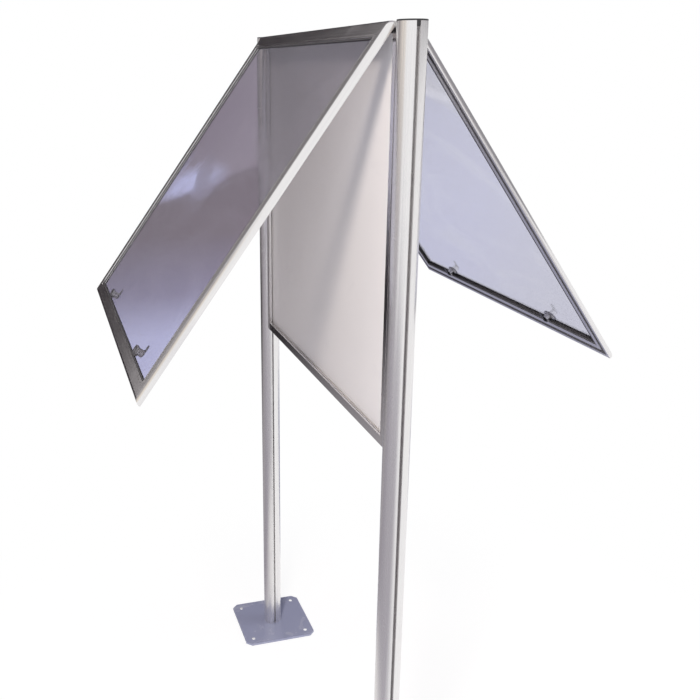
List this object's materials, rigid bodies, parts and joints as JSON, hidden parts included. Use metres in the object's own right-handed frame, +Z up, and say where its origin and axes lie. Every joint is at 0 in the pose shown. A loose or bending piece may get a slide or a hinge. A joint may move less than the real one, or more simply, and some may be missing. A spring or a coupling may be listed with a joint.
{
  "type": "lockable notice board",
  "caption": "Free-standing double-sided notice board on round posts with base plates; glazed lockable doors hinged along the top, standing open.",
  "frame": {"origin": "on the ground midway between the two posts, under the board", "axes": "+X along the board to the right seen from the front, -Y to the front door, +Z up"},
  "size_m": [1.32, 1.1056, 2.03],
  "materials": {
    "post_aluminium": "satin anodised extrusion",
    "frame_aluminium": "satin anodised extrusion",
    "door_aluminium": "satin anodised extrusion",
    "cleat_metal": "mill finish",
    "black_plastic": "moulded",
    "plate_paint": "semi-gloss blue-grey coating",
    "screw_steel": "stainless",
    "core_board": "pressed board",
    "panel_white": "satin white coating",
    "gasket_rubber": "extruded rubber",
    "door_glazing": "clear, glossy",
    "lock_metal": "plated die casting",
    "dark_steel": "dark passivated steel"
  },
  "bodies": {
    "board": {"left_post": "post_aluminium", "right_post": "post_aluminium", "left_post_cap": "black_plastic", "right_post_cap": "black_plastic", "left_base_plate": "plate_paint", "right_base_plate": "plate_paint", "left_base_screws": "screw_steel", "right_base_screws": "screw_steel", "frame_top_rail": "frame_aluminium", "frame_bottom_rail": "frame_aluminium", "frame_left_stile": "frame_aluminium", "frame_right_stile": "frame_aluminium", "frame_corner_cleats": "cleat_metal", "panel_core": "core_board", "front_panel_sheet": "panel_white", "rear_panel_sheet": "panel_white", "panel_edge_gasket": "gasket_rubber", "post_brackets": "black_plastic", "post_bracket_screws": "screw_steel"},
    "front_door": {"front_door_top_rail": "door_aluminium", "front_door_bottom_rail": "door_aluminium", "front_door_left_stile": "door_aluminium", "front_door_right_stile": "door_aluminium", "front_door_corner_cleats": "cleat_metal", "front_door_glazing": "door_glazing", "front_door_outer_gasket": "gasket_rubber", "front_door_inner_gasket": "gasket_rubber", "front_door_seal": "gasket_rubber", "front_lock_plates": "lock_metal", "front_lock_plate_screws": "screw_steel", "front_left_lock_housing": "lock_metal", "front_right_lock_housing": "lock_metal"},
    "front_left_cam": {"front_left_lock_plug": "lock_metal", "front_left_lock_cam": "dark_steel", "front_left_lock_cam_screw": "dark_steel"},
    "front_right_cam": {"front_right_lock_plug": "lock_metal", "front_right_lock_cam": "dark_steel", "front_right_lock_cam_screw": "dark_steel"},
    "rear_door": {"rear_door_top_rail": "door_aluminium", "rear_door_bottom_rail": "door_aluminium", "rear_door_left_stile": "door_aluminium", "rear_door_right_stile": "door_aluminium", "rear_door_corner_cleats": "cleat_metal", "rear_door_glazing": "door_glazing", "rear_door_outer_gasket": "gasket_rubber", "rear_door_inner_gasket": "gasket_rubber", "rear_door_seal": "gasket_rubber", "rear_lock_plates": "lock_metal", "rear_lock_plate_screws": "screw_steel", "rear_left_lock_housing": "lock_metal", "rear_right_lock_housing": "lock_metal"},
    "rear_left_cam": {"rear_left_lock_plug": "lock_metal", "rear_left_lock_cam": "dark_steel", "rear_left_lock_cam_screw": "dark_steel"},
    "rear_right_cam": {"rear_right_lock_plug": "lock_metal", "rear_right_lock_cam": "dark_steel", "rear_right_lock_cam_screw": "dark_steel"}
  },
  "joints": [
    {"name": "front_door_hinge", "type": "hinge", "parent": "board", "child": "front_door", "pos_m": [0, -0.018, 2.024], "axis": [-1, 0, 0], "range_deg": [-36, 54]},
    {"name": "front_left_lock_turn", "type": "hinge", "parent": "front_door", "child": "front_left_cam", "pos_m": [-0.275, -0.51563, 1.33737], "axis": [0, -0.809, 0.5878], "range_deg": [0, 180]},
    {"name": "front_right_lock_turn", "type": "hinge", "parent": "front_door", "child": "front_right_cam", "pos_m": [0.275, -0.51563, 1.33737], "axis": [0, -0.809, 0.5878], "range_deg": [0, 180]},
    {"name": "rear_door_hinge", "type": "hinge", "parent": "board", "child": "rear_door", "pos_m": [0, 0.018, 2.024], "axis": [1, 0, 0], "range_deg": [-36, 54]},
    {"name": "rear_left_lock_turn", "type": "hinge", "parent": "rear_door", "child": "rear_left_cam", "pos_m": [-0.275, 0.51563, 1.33737], "axis": [0, 0.809, 0.5878], "range_deg": [0, 180]},
    {"name": "rear_right_lock_turn", "type": "hinge", "parent": "rear_door", "child": "rear_right_cam", "pos_m": [0.275, 0.51563, 1.33737], "axis": [0, 0.809, 0.5878], "range_deg": [0, 180]}
  ]
}
